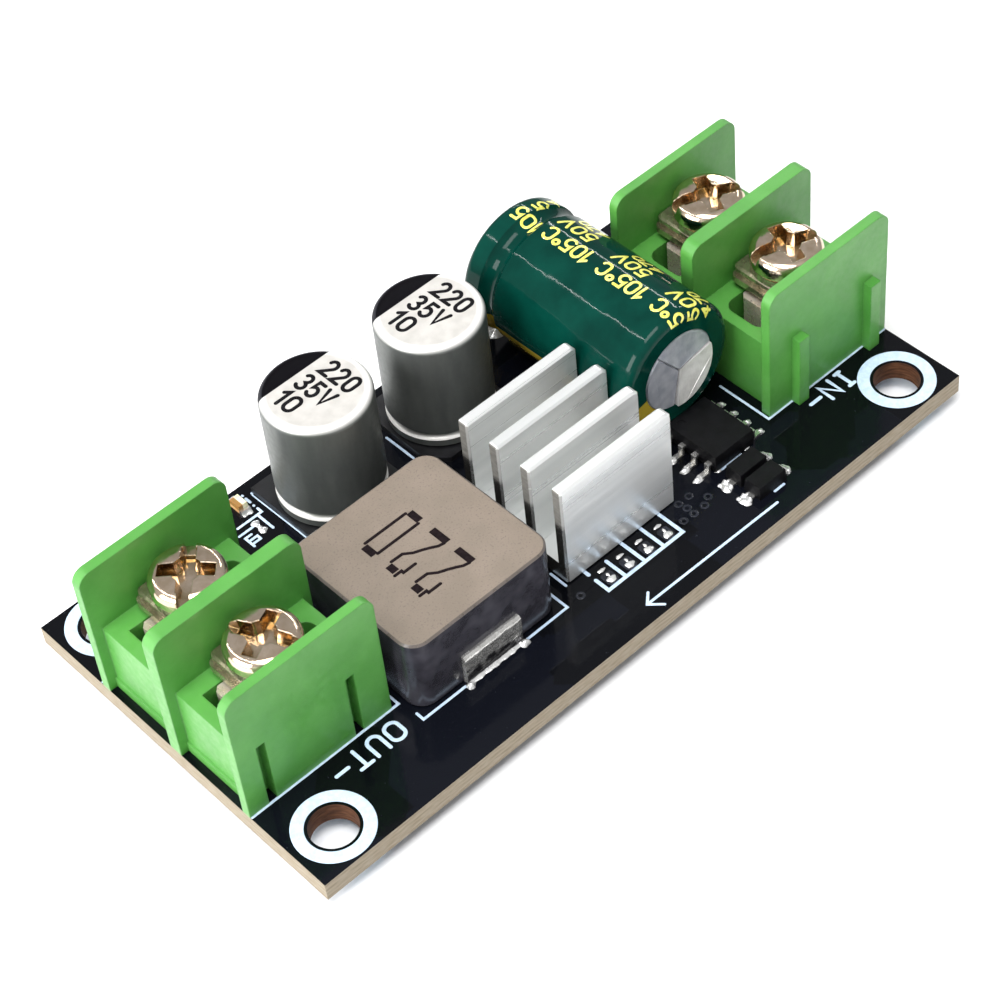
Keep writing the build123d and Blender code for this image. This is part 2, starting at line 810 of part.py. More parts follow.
# Solder below the pins and the leads, and on top round the leads
with BuildPart() as joints:
    for name, turn, y, angle in poles:
        with BuildSketch(Plane(origin=(-turn * pin_x, turn * y, 0), x_dir=(1, 0, 0), z_dir=(0, 0, -1))):
            Circle(joint_radius)
        with BuildSketch(
            Plane(origin=(-turn * pin_x, turn * y, -joint_height), x_dir=(1, 0, 0), z_dir=(0, 0, -1))
        ):
            Circle(joint_tip_radius)
        loft()
    with BuildSketch(Plane.XY):
        for name, turn, y, angle in poles:
            with Locations((-turn * pin_x, turn * y)):
                Rectangle(contact_thickness, pin_width)
    extrude(amount=-joint_height, mode=Mode.SUBTRACT)
save(joints.part, "terminal_solder_joints")

with BuildPart() as lead_joints:
    for x in lead_positions:
        for height, tall in ((0, -joint_height), (board_top, top_joint_height)):
            with BuildSketch(Plane(origin=(x, lead_y, height))):
                Circle(top_joint_radius)
            with BuildSketch(Plane(origin=(x, lead_y, height + tall))):
                Circle(lead_diameter / 2 + joint_tip_wall)
            loft()
    with BuildSketch(Plane.XY.offset(-joint_height)):
        for x in lead_positions:
            with Locations((x, lead_y)):
                Circle(lead_diameter / 2 + joint_clearance)
    extrude(amount=joint_height + board_top + top_joint_height, mode=Mode.SUBTRACT)
save(lead_joints.part, "lead_solder_joints")


# Each lead end that is soldered: its place, the way it runs out, its width and height
feet = []
for side in (-1, 1):
    clip_end = inductor_y + side * (inductor_side / 2 + clip_side_thickness)
    feet.append((inductor_x, clip_end, (0, side), clip_width, clip_solder_reach, clip_solder_height))
    for place, x in can_positions.items():
        lead_end = can_y + side * (can_base_side / 2 + can_lead_reach)
        feet.append((x, lead_end, (0, side), can_lead_width, foot_solder_reach, can_lead_thickness))
    for index in range(chip_lead_count):
        y = chip_y + (index - (chip_lead_count - 1) / 2) * chip_lead_pitch
        x = chip_x + side * chip_lead_span / 2
        feet.append((x, y, (side, 0), chip_lead_width, foot_solder_reach, chip_lead_thickness))
    for place, y in diode_rows.items():
        x = diode_x + side * diode_span / 2
        feet.append((x, y, (side, 0), diode_solder_width, diode_solder_reach, diode_solder_height))
    y = indicator_y + side * indicator_length / 2
    feet.append((indicator_x, y, (0, side), indicator_width, foot_solder_reach, indicator_base_height))

with BuildPart() as foot_joints:
    for x, y, direction, width, reach, height in feet:
        across, along = direction
        corner = (x + along * width / 2, y - across * width / 2, board_top)
        with BuildSketch(Plane(origin=corner, x_dir=(across, along, 0), z_dir=(along, -across, 0))):
            with BuildLine():
                Polyline((0, 0), (reach, 0), (0, height), close=True)
            make_face()
        extrude(amount=-width)
save(foot_joints.part, "foot_solder_joints")

with BuildPart() as jumpers:
    with BuildSketch(Plane.XY.offset(board_top)):
        for x in jumper_columns:
            with Locations((x, jumper_y)):
                RectangleRounded(jumper_pad_width, jumper_pad_length, jumper_pad_width / 4)
    extrude(amount=jumper_pad_height)
save(jumpers.part, "jumper_solder_pads")
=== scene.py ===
"""Looks of the buck converter module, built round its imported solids."""
import json
import math

import bmesh
import bpy
import numpy as np
from mathutils import Matrix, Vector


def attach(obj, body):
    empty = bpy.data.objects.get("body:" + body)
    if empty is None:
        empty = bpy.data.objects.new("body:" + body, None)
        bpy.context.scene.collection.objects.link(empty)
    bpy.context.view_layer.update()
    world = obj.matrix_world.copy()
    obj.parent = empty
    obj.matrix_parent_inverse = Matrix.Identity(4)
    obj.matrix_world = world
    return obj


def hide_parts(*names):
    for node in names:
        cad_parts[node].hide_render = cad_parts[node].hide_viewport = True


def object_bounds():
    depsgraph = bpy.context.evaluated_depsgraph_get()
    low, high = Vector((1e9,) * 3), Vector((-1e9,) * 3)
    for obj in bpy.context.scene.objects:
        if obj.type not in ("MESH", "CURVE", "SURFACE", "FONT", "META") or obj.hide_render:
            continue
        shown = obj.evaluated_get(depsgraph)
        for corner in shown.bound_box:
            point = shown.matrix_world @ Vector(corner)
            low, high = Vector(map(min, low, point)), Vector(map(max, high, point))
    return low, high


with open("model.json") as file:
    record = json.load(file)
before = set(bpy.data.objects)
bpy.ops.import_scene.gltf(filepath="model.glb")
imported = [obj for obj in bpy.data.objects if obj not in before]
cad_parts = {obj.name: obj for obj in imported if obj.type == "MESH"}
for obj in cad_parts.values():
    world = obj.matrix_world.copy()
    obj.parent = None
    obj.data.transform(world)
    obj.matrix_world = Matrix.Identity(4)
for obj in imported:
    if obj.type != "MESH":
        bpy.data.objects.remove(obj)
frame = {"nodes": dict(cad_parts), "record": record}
cad_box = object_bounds()
nodes = frame["nodes"]
mm = 0.001


# Driving sizes, in millimetres, that the added pieces share with the solids

board_top = 1.6
hole_x = 26.7
hole_y = 12.0
# a hole's wall lies nearer to its axis than this, and the board's edges lie farther
wall_zone = 2.2
ring_inner = 1.92
ring_outer = 2.82
ring_height = 0.03
ink_height = 0.02

# upright capacitors, with their places along X
can_top = 11.8
can_y = 9.75
can_positions = {"front": -8.0, "rear": 2.35}
can_middle = sum(can_positions.values()) / 2
can_spread = can_positions["rear"] - can_middle
can_foot = 4.75

# inductor and heatsink
inductor_x = -10.6
inductor_y = -3.2
inductor_top = 8.0
clip_face = 6.7
clip_corner = 2.45
fin_top = board_top + 9.1

# lying capacitor: its sleeve runs along Y, with a crimp near its far end and a stripe between two angles
sleeve_x = 12.78
sleeve_near = -4.1
sleeve_far = 12.8
sleeve_radius = 5.075
sleeve_edge = 0.7
sleeve_axis = board_top + 1.0 + sleeve_radius
crimp_y = sleeve_far - 2.6
crimp_half = 0.85
crimp_depth = 0.5
stripe_start = 193
stripe_end = 230
vent_radius = 3.22

# chip, diodes, lamp and jumper: a foot is the distance from a part's middle to where its solder starts
chip_x = 13.3
chip_y = -6.45
chip_foot = 3.0
lead_pitch = 1.27
diode_x = 13.0
diode_foot = 1.85
diode_rows = (-10.25, -12.05)
indicator_x = -13.6
indicator_y = 13.5
indicator_foot = 0.8
lens_side = -13.62
jumper_columns = (-0.35, 1.4, 3.2, 5.05)


# Materials

def linear(colour):
    """sRGB hex to a linear colour: a straight line near black, and a power of 2.4 above it."""
    channels = [int(colour[k:k + 2], 16) / 255 for k in (1, 3, 5)]
    return [c / 12.92 if c <= 0.04045 else ((c + 0.055) / 1.055) ** 2.4 for c in channels] + [1.0]


def add(tree, kind, inputs=None, out=0, **settings):
    """Add one node with its settings, and give back one output.
    Each input takes a value, or is linked where it is given another node's output."""
    node = tree.nodes.new("ShaderNode" + kind)
    for name, value in settings.items():
        setattr(node, name, value)
    for name, value in (inputs or {}).items():
        if isinstance(value, bpy.types.NodeSocket):
            tree.links.new(value, node.inputs[name])
        else:
            node.inputs[name].default_value = value
    return node.outputs[out]


def started(name, **values):
    """A new material: its node tree, its shader with the given values, and places in millimetres."""
    material = bpy.data.materials.new(name)
    material.use_nodes = True
    tree = material.node_tree
    shader = tree.nodes["Principled BSDF"]
    for socket, value in values.items():
        shader.inputs[socket.replace("_", " ")].default_value = value
    place = add(tree, "TexCoord", out="Object")
    place = add(tree, "Mapping", {"Vector": place, "Scale": (1000, 1000, 1000)})
    return tree, shader, place


def wandering(tree, place, size, low, high, detail=4.0, start=0.35, end=0.65):
    """A value that drifts between two numbers in patches of about the given size in millimetres."""
    cloud = add(tree, "TexNoise", {"Vector": place, "Scale": 1 / size, "Detail": detail})
    return add(tree, "MapRange", {0: cloud, 1: start, 2: end, 3: low, 4: high})


def mottled(tree, place, size, first, second):
    """A colour that drifts between two tones in patches of about the given size in millimetres."""
    share = wandering(tree, place, size, 0.0, 1.0)
    return add(tree, "Mix", {0: share, 6: linear(first), 7: linear(second)}, 2, data_type="RGBA")


def finished(name, tree, shader, colour, roughness, heights, edge=0.0):
    """Give the shader its colour, roughness and relief. Heights are pairs of a 0 to 1 value and its depth
    in millimetres. An edge radius in millimetres makes sharp edges catch the light."""
    tree.links.new(colour, shader.inputs["Base Color"])
    tree.links.new(roughness, shader.inputs["Roughness"])
    normal = None
    if edge:
        normal = add(tree, "Bevel", {"Radius": edge * mm}, samples=3)
    for height, depth in heights:
        inputs = {"Height": height, "Distance": depth * mm, "Strength": 1.0}
        if normal:
            inputs["Normal"] = normal
        normal = add(tree, "Bump", inputs)
    tree.links.new(normal, shader.inputs["Normal"])
    return bpy.data.materials[name]


def solder_mask():
    """Glossy black solder mask over copper on woven laminate: a mirror-like top, a tan layered edge
    and brown hole walls."""
    name = "black_solder_mask_on_laminate"
    tree, shader, place = started(name, IOR=1.5, Specular_IOR_Level=0.18)
    facing = add(tree, "SeparateXYZ", {0: add(tree, "TexCoord", out="Normal")}, 2)
    level = add(tree, "Math", {0: facing}, operation="ABSOLUTE")
    face = add(tree, "MapRange", {0: level, 1: 0.58, 2: 0.62})
    # copper areas under the mask lift its tone a little, in blocks of about 6 mm
    blocks = {"Vector": place, "Scale": 1 / 6.25, "Randomness": 0.8}
    pours = add(tree, "TexVoronoi", blocks, "Color", distance="CHEBYCHEV")
    copper = add(tree, "MapRange", {0: add(tree, "SeparateXYZ", {0: pours}), 1: 0.45, 2: 0.55})
    mask = add(tree, "Mix", {0: copper, 6: linear("#07080c"), 7: linear("#0c0e15")}, 2, data_type="RGBA")
    specks = wandering(tree, place, 0.25, 0.0, 1.0, 4.0, 0.72, 0.76)
    mask = add(tree, "Mix", {0: specks, 6: mask, 7: linear("#23262c")}, 2, data_type="RGBA")
    # the laminate's layers show in its cut edge, a dark and a pale one in about every 0.4 mm
    bands = {"Vector": place, "Scale": 0.8, "Distortion": 1.2, "Detail": 2.0}
    layers = add(tree, "TexWave", bands, bands_direction="Z")
    layers = add(tree, "MapRange", {0: layers, 1: 0.2, 2: 0.8, 3: 0.0, 4: 0.55})
    weave = add(tree, "Mapping", {"Vector": place, "Scale": (0.35, 0.35, 2.0)})
    edge = add(tree, "Mix", {0: layers, 6: linear("#8f8370"), 7: linear("#756852")}, 2, data_type="RGBA")
    threads = wandering(tree, weave, 0.35, 0.0, 0.6)
    edge = add(tree, "Mix", {0: threads, 6: edge, 7: linear("#a39a8b")}, 2, data_type="RGBA")
    # distance from the axis of the nearest mounting hole
    folded = add(tree, "VectorMath", {0: place}, operation="ABSOLUTE")
    folded = add(tree, "VectorMath", {0: folded, 1: (1, 1, 0)}, operation="MULTIPLY")
    from_hole = add(tree, "VectorMath", {0: folded, 1: (hole_x, hole_y, 0)}, "Value", operation="DISTANCE")
    beyond = add(tree, "MapRange", {0: from_hole, 1: wall_zone - 0.02, 2: wall_zone + 0.02})
    drilled = mottled(tree, weave, 0.35, "#3f2414", "#63402a")
    edge = add(tree, "Mix", {0: beyond, 6: drilled, 7: edge}, 2, data_type="RGBA")
    colour = add(tree, "Mix", {0: face, 6: edge, 7: mask}, 2, data_type="RGBA")
    smooth = wandering(tree, place, 3.0, 0.07, 0.14)
    rough = add(tree, "Mix", {0: face, 2: 0.7, 3: smooth})
    ripple = wandering(tree, place, 1.2, 0.0, 1.0)
    return finished(name, tree, shader, colour, rough, [(copper, 0.004), (ripple, 0.003)])


def moulded_nylon():
    """Green glass-filled nylon, moulded: a satin skin, light passing into its thin walls, and pale edges."""
    name = "green_moulded_nylon"
    tree, shader, place = started(
        name, IOR=1.5, Specular_IOR_Level=0.65, Subsurface_Weight=0.04, Subsurface_Scale=0.6 * mm,
        Subsurface_Radius=(0.5, 1.0, 0.4),
    )
    colour = mottled(tree, place, 3.0, "#488c38", "#529641")
    rough = wandering(tree, place, 0.5, 0.34, 0.48)
    # mould grain of about a tenth of a millimetre, and slow sink marks over the thick places
    grain = wandering(tree, place, 0.12, 0.0, 1.0)
    sink = wandering(tree, place, 2.6, 0.0, 1.0, 1.0, 0.2, 0.8)
    return finished(name, tree, shader, colour, rough, [(grain, 0.003), (sink, 0.03)], 0.14)


def plated(name, first, second, rough, grain, depth, metallic):
    """Nickel or tin plating over stamped metal, or solder: bright, with fine marks and dull patches."""
    tree, shader, place = started(name, Metallic=metallic)
    colour = mottled(tree, place, 0.9, first, second)
    roughness = wandering(tree, place, 0.6, rough[0], rough[1])
    tool_marks = wandering(tree, place, grain, 0.0, 1.0)
    return finished(name, tree, shader, colour, roughness, [(tool_marks, depth)])


def screw_plating():
    """Bright nickel over brass: a taupe dome, and painted shade that darkens the recess to brown by ambient
    occlusion.
    """
    name = "nickel_plated_brass_screw"
    tree, shader, place = started(name, Metallic=1.0)
    # painted shade: where ambient occlusion finds the head closed in, as in the recess, the colour turns
    # brown
    open_share = add(tree, "AmbientOcclusion", {"Distance": 0.9 * mm}, "AO", samples=8)
    open_share = add(tree, "MapRange", {0: open_share, 1: 0.45, 2: 0.92})
    dome = mottled(tree, place, 0.9, "#d6c0a6", "#e6d3bd")
    colour = add(tree, "Mix", {0: open_share, 6: linear("#a28c66"), 7: dome}, 2, data_type="RGBA")
    rough = wandering(tree, place, 0.6, 0.06, 0.16)
    tool_marks = wandering(tree, place, 0.5, 0.0, 1.0)
    return finished(name, tree, shader, colour, rough, [(tool_marks, 0.004)], 0.1)


def folded_tin():
    """Tinned clip folded up the core's side: wavy and bright at its head. Below that its upright faces carry
    a painted reflection of the dark board."""
    name = "tinned_copper_clip"
    tree, shader, place = started(name, Metallic=0.75)
    drawn_out = add(tree, "Mapping", {"Vector": place, "Scale": (0.4, 1, 1)})
    height = add(tree, "SeparateXYZ", {0: place}, 2)
    drift = wandering(tree, drawn_out, 0.5, -0.45, 0.45, 2.0)
    height = add(tree, "Math", {0: height, 1: drift}, operation="ADD")
    head = add(tree, "MapRange", {0: height, 1: board_top + 0.9, 2: board_top + 1.3})
    facing = add(tree, "SeparateXYZ", {0: add(tree, "TexCoord", out="Normal")}, 1)
    facing = add(tree, "Math", {0: facing}, operation="ABSOLUTE")
    upright = add(tree, "MapRange", {0: facing, 1: 0.7, 2: 0.9})
    # painted reflection: upright faces below the head are painted dark, as if mirroring the board
    dark = add(tree, "Math", {0: upright, 1: head}, operation="SUBTRACT", use_clamp=True)
    bright = mottled(tree, place, 0.7, "#b9b8b5", "#d6d5d2")
    colour = add(tree, "Mix", {0: dark, 6: bright, 7: linear("#3a393c")}, 2, data_type="RGBA")
    rough = wandering(tree, place, 0.5, 0.16, 0.32)
    waves = wandering(tree, drawn_out, 0.6, 0.0, 1.0, 2.0)
    return finished(name, tree, shader, colour, rough, [(waves, 0.05)])


def pressed_powder_core():
    """Iron powder pressed round the winding: a taupe lacquered top, and dark glossy sides with scuffs."""
    name = "pressed_iron_powder"
    tree, shader, place = started(name, IOR=1.5)
    facing = add(tree, "SeparateXYZ", {0: add(tree, "TexCoord", out="Normal")}, 2)
    top = add(tree, "MapRange", {0: facing, 1: 0.6, 2: 0.84})
    lacquer = mottled(tree, place, 2.2, "#786d61", "#807468")
    specks = wandering(tree, place, 0.14, 0.0, 1.0, 4.0, 0.56, 0.68)
    lacquer = add(tree, "Mix", {0: specks, 6: lacquer, 7: linear("#6c6158")}, 2, data_type="RGBA")
    side = mottled(tree, place, 1.6, "#2a292f", "#39383f")
    scuffs = wandering(tree, place, 2.4, 0.0, 0.35, 2.0, 0.5, 0.7)
    side = add(tree, "Mix", {0: scuffs, 6: side, 7: linear("#5f5e66")}, 2, data_type="RGBA")
    colour = add(tree, "Mix", {0: top, 6: side, 7: lacquer}, 2, data_type="RGBA")
    smooth = wandering(tree, place, 0.7, 0.12, 0.22)
    matt = wandering(tree, place, 0.7, 0.42, 0.55)
    rough = add(tree, "Mix", {0: top, 2: smooth, 3: matt})
    grain = wandering(tree, place, 0.16, 0.0, 1.0)
    return finished(name, tree, shader, colour, rough, [(grain, 0.004)], 0.12)


def extruded_aluminium():
    """Bright extruded and sawn aluminium: die lines along the fins, and painted shade that makes the cut
    ends a darker grey.
    """
    name = "extruded_aluminium"
    tree, shader, place = started(name)
    facing = add(tree, "SeparateXYZ", {0: add(tree, "TexCoord", out="Normal")}, 0)
    facing = add(tree, "Math", {0: facing}, operation="ABSOLUTE")
    cut = add(tree, "MapRange", {0: facing, 1: 0.6, 2: 0.8})
    along = add(tree, "Mapping", {"Vector": place, "Scale": (0, 0.2, 1)})
    body = mottled(tree, along, 1.6, "#e2e4e3", "#f4f5f4")
    upward = add(tree, "Mapping", {"Vector": place, "Scale": (1, 0.3, 1)})
    # painted shade: the cut ends are painted a darker grey than the fins
    sawn = mottled(tree, upward, 0.2, "#6d6b67", "#84827d")
    colour = add(tree, "Mix", {0: cut, 6: body, 7: sawn}, 2, data_type="RGBA")
    # the upper part of each cut end is duller than the rest
    height = add(tree, "SeparateXYZ", {0: place}, 2)
    dull = add(tree, "MapRange", {0: height, 1: fin_top - 3.7, 2: fin_top - 3.1})
    ends = add(tree, "Mix", {0: dull, 2: 0.85, 3: 0.25})
    bare = add(tree, "Mix", {0: cut, 2: 0.62, 3: ends})
    tree.links.new(bare, shader.inputs["Metallic"])
    drawn = wandering(tree, along, 0.7, 0.26, 0.36)
    rough = add(tree, "Mix", {0: cut, 2: drawn, 3: 0.2})
    die_lines = wandering(tree, along, 0.4, 0.0, 1.0, 1.0)
    return finished(name, tree, shader, colour, rough, [(die_lines, 0.0015)], 0.06)


def can_aluminium():
    """Drawn aluminium can with a satin coating: a pale lid with a printed black segment, and walls in
    painted shade, a darker grey than the lid.
    """
    name = "coated_aluminium_can"
    tree, shader, place = started(name, IOR=1.5)
    facing = add(tree, "SeparateXYZ", {0: add(tree, "TexCoord", out="Normal")}, 2)
    top = add(tree, "MapRange", {0: facing, 1: 0.3, 2: 0.9})
    upward = add(tree, "Mapping", {"Vector": place, "Scale": (1, 1, 0.2)})
    # painted shade: the walls are painted a darker grey than the lid
    walls = mottled(tree, upward, 1.2, "#656866", "#717471")
    # distance from the nearer can's axis: the lid is dished, and a painted highlight makes its rim paler
    ahead = add(tree, "VectorMath", {0: place, 1: (can_middle, can_y, 0)}, operation="SUBTRACT")
    ahead = add(tree, "VectorMath", {0: ahead}, operation="ABSOLUTE")
    ahead = add(tree, "VectorMath", {0: ahead, 1: (1, 1, 0)}, operation="MULTIPLY")
    from_axis = add(tree, "VectorMath", {0: ahead, 1: (can_spread, 0, 0)}, "Value", operation="DISTANCE")
    rim = add(tree, "MapRange", {0: from_axis, 1: 3.3, 2: 3.55})
    lid = mottled(tree, place, 0.8, "#bfbcb7", "#cbc8c3")
    lid = add(tree, "Mix", {0: rim, 6: lid, 7: linear("#e9e7e3")}, 2, data_type="RGBA")
    colour = add(tree, "Mix", {0: top, 6: walls, 7: lid}, 2, data_type="RGBA")
    # the segment is printed over the lid and its rim, from 2.1 mm beyond the axis on
    height = add(tree, "SeparateXYZ", {0: place}, 2)
    high = add(tree, "MapRange", {0: height, 1: can_top - 0.37, 2: can_top - 0.33})
    beyond = add(tree, "SeparateXYZ", {0: place}, 1)
    beyond = add(tree, "MapRange", {0: beyond, 1: can_y + 2.08, 2: can_y + 2.12})
    segment = add(tree, "Math", {0: high, 1: beyond}, operation="MULTIPLY")
    # painted highlight: where the black segment crosses the rim it is painted a lighter grey
    band = add(tree, "MapRange", {0: from_axis, 1: 3.62, 2: 3.7})
    black = add(tree, "Mix", {0: band, 6: linear("#060509"), 7: linear("#2b2b2f")}, 2, data_type="RGBA")
    colour = add(tree, "Mix", {0: segment, 6: colour, 7: black}, 2, data_type="RGBA")
    bare = add(tree, "Mix", {0: top, 2: 0.6, 3: 0.3})
    bare = add(tree, "Math", {0: bare, 1: segment}, operation="SUBTRACT", use_clamp=True)
    tree.links.new(bare, shader.inputs["Metallic"])
    gloss = add(tree, "Mix", {0: segment, 2: 0.3, 3: 0.08})
    tree.links.new(gloss, shader.inputs["Specular IOR Level"])
    rough = wandering(tree, place, 0.4, 0.38, 0.48)
    # drawing lines, kept in patches about seven times as long round the wall as they are high
    round_wall = add(tree, "Mapping", {"Vector": place, "Scale": (0.15, 0.15, 1.0)})
    drawing_lines = wandering(tree, round_wall, 0.12, 0.0, 1.0, 2.0)
    return finished(name, tree, shader, colour, rough, [(drawing_lines, 0.0015)])


def shrunk_film():
    """Green heat-shrunk film over the can: thin, glossy and slightly wavy."""
    name = "green_shrink_film"
    tree, shader, place = started(name, IOR=1.5, Specular_IOR_Level=0.13)
    colour = mottled(tree, place, 2.5, "#012b24", "#03362d")
    # gold stripe along the can's lower left, between two angles round its axis
    centred = add(tree, "VectorMath", {0: place, 1: (sleeve_x, 0, sleeve_axis)}, operation="SUBTRACT")
    across = add(tree, "SeparateXYZ", {0: centred}, 0)
    up = add(tree, "SeparateXYZ", {0: centred}, 2)
    angle = add(tree, "Math", {0: up, 1: across}, operation="ARCTAN2")
    start, end = (math.radians(limit - 360) for limit in (stripe_start, stripe_end))
    begins = add(tree, "MapRange", {0: angle, 1: start - 0.01, 2: start + 0.01})
    ends = add(tree, "MapRange", {0: angle, 1: end - 0.01, 2: end + 0.01})
    striped = add(tree, "Math", {0: begins, 1: ends}, operation="SUBTRACT", use_clamp=True)
    colour = add(tree, "Mix", {0: striped, 6: colour, 7: linear("#9c872c")}, 2, data_type="RGBA")
    rough = wandering(tree, place, 1.2, 0.05, 0.1)
    waves = wandering(tree, place, 1.6, 0.0, 1.0, 2.0, 0.2, 0.8)
    return finished(name, tree, shader, colour, rough, [(waves, 0.02)])


def vent_metal(name, first, second):
    """Bare drawn aluminium of the can's end, brushed by the punch: half mirror, half pale grey."""
    tree, shader, place = started(name, Metallic=0.55)
    colour = mottled(tree, place, 0.8, first, second)
    rough = wandering(tree, place, 0.4, 0.3, 0.42)
    upward = add(tree, "Mapping", {"Vector": place, "Scale": (1, 1, 0.15)})
    brushed = wandering(tree, upward, 0.1, 0.0, 1.0)
    return finished(name, tree, shader, colour, rough, [(brushed, 0.004)])


def moulded(name, first, second, rough, grain=0.1, depth=0.004, **values):
    """Moulded or cast plastic, rubber or paper: its tone wanders a little, and its skin has a fine grain."""
    tree, shader, place = started(name, **values)
    colour = mottled(tree, place, 1.1, first, second)
    roughness = wandering(tree, place, 0.5, rough[0], rough[1])
    skin = wandering(tree, place, grain, 0.0, 1.0)
    return finished(name, tree, shader, colour, roughness, [(skin, depth)])


def lamp_resin():
    """Cast lamp resin: a creamy lens on the chip's side, and clear resin over the tan laminate beside it."""
    name = "cream_lamp_resin"
    tree, shader, place = started(name, IOR=1.52, Subsurface_Weight=0.2, Subsurface_Scale=0.4 * mm)
    across = add(tree, "SeparateXYZ", {0: place}, 0)
    cream = mottled(tree, place, 0.5, "#ddd4b0", "#ebe5cb")
    lens = add(tree, "MapRange", {0: across, 1: lens_side - 0.03, 2: lens_side + 0.03})
    colour = add(tree, "Mix", {0: lens, 6: linear("#94703f"), 7: cream}, 2, data_type="RGBA")
    rough = wandering(tree, place, 0.5, 0.12, 0.25)
    skin = wandering(tree, place, 0.2, 0.0, 1.0)
    return finished(name, tree, shader, colour, rough, [(skin, 0.004)])


def printing_ink(name, first, second, rough, **values):
    """Screen or pad printed ink: flat, with the small breaks of the mesh it went through."""
    tree, shader, place = started(name, **values)
    colour = mottled(tree, place, 0.3, first, second)
    roughness = wandering(tree, place, 0.2, rough[0], rough[1])
    breaks = wandering(tree, place, 0.12, 0.0, 1.0)
    return finished(name, tree, shader, colour, roughness, [(breaks, 0.003)])


finish = {
    "board": solder_mask(),
    "housing": moulded_nylon(),
    "contact": plated("tinned_brass_contact", "#e6d6c3", "#f2e6d8", (0.2, 0.36), 0.5, 0.002, metallic=0.7),
    "clamp": plated(
        "nickel_plated_steel_washer", "#988d77", "#bfb49d", (0.16, 0.3), 0.5, 0.002, metallic=0.9,
    ),
    "screw": screw_plating(),
    "core": pressed_powder_core(),
    "tin": plated("tinned_copper", "#d6d5d2", "#efedea", (0.16, 0.3), 0.4, 0.006, metallic=0.92),
    "clip": folded_tin(),
    "can": can_aluminium(),
    "bare_can": vent_metal("bare_drawn_aluminium", "#a4a7b2", "#bfc1c8"),
    # painted highlight: a paler copy of the bare drawn aluminium, for the vent's lower sector
    "painted_highlight_can": vent_metal("drawn_aluminium_painted_highlight", "#dedbd8", "#f1efec"),
    "covered_copper": moulded("mask_over_copper_ring", "#14161d", "#20232c", (0.15, 0.25), IOR=1.5),
    "black_plastic": moulded("black_moulded_polyamide", "#0d0d0f", "#17171a", (0.3, 0.45), IOR=1.5),
    "sleeve": shrunk_film(),
    "bung": moulded("black_rubber_bung", "#101010", "#1c1b1b", (0.55, 0.7), IOR=1.5),
    "glue": moulded(
        "yellow_hot_glue", "#8d7d22", "#b3a338", (0.2, 0.4), 0.6, 0.03, IOR=1.48, Coat_Weight=0.2,
    ),
    "heatsink": extruded_aluminium(),
    "pad": moulded("grey_thermal_adhesive", "#8b8b88", "#a3a39f", (0.6, 0.75), IOR=1.45),
    "chip": moulded(
        "black_epoxy_moulding", "#070709", "#0d0d10", (0.42, 0.58), 0.09, 0.003,
        IOR=1.5, Specular_IOR_Level=0.2,
    ),
    "solder": plated("reflowed_tin_solder", "#e6e6e6", "#f7f7f5", (0.12, 0.3), 0.35, 0.015, metallic=0.7),
    "led_base": moulded("tan_lamp_laminate", "#b98a55", "#d0a46f", (0.4, 0.55), IOR=1.5),
    "led_lens": lamp_resin(),
}
ink = {
    "legend": printing_ink("pale_legend_ink", "#b2c7de", "#c6d9ec", (0.35, 0.5), IOR=1.5),
    "can": printing_ink(
        "black_can_ink", "#08070a", "#100f12", (0.5, 0.65), IOR=1.5, Specular_IOR_Level=0.12,
    ),
    "sleeve": printing_ink("yellow_sleeve_ink", "#d8d44e", "#ece97c", (0.2, 0.3), IOR=1.5, Coat_Weight=0.6),
    "burned": printing_ink(
        "burned_marking", "#120c0e", "#1d1417", (0.6, 0.8), IOR=1.45, Specular_IOR_Level=0.1,
    ),
}

slot_of = {row["node"]: row["material_slot"] for row in frame["record"]["subparts"]}


# Shapes

def joined(name, grids, material, body="module"):
    """Grids of points made into one closed mesh.
    Each grid is rows of points with two marks, closed across and closed along: neighbours make a quad,
    and an open end is shut with one face."""
    points = []
    faces = []
    start = 0
    for grid, across, along in grids:
        rows, columns = grid.shape[:2]
        row, column = np.meshgrid(
            np.arange(rows if along else rows - 1),
            np.arange(columns if across else columns - 1),
            indexing="ij",
        )
        below = (row + 1) % rows
        beside = (column + 1) % columns
        corners = [(row, column), (below, column), (below, beside), (row, beside)]
        quads = np.stack([down * columns + right for down, right in corners], -1)
        faces += (quads.reshape(-1, 4) + start).tolist()
        if across and not along:
            faces.append(list(range(start, start + columns)))
            faces.append(list(range(start + (rows - 1) * columns, start + rows * columns)))
        points.append(grid.reshape(-1, 3) * mm)
        start += rows * columns
    mesh = bpy.data.meshes.new(name)
    mesh.from_pydata(np.concatenate(points), [], faces)
    tidy = bmesh.new()
    tidy.from_mesh(mesh)
    bmesh.ops.recalc_face_normals(tidy, faces=tidy.faces)
    tidy.to_mesh(mesh)
    tidy.free()
    mesh.materials.append(material)
    made = bpy.data.objects.new(name, mesh)
    bpy.context.scene.collection.objects.link(made)
    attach(made, body)
    return made


profile_across = np.array([-1, -1, -0.8, 0, 0.8, 1, 1], float)
profile_lift = np.array([-0.6, 0.55, 1, 1, 1, 0.55, -0.6], float)


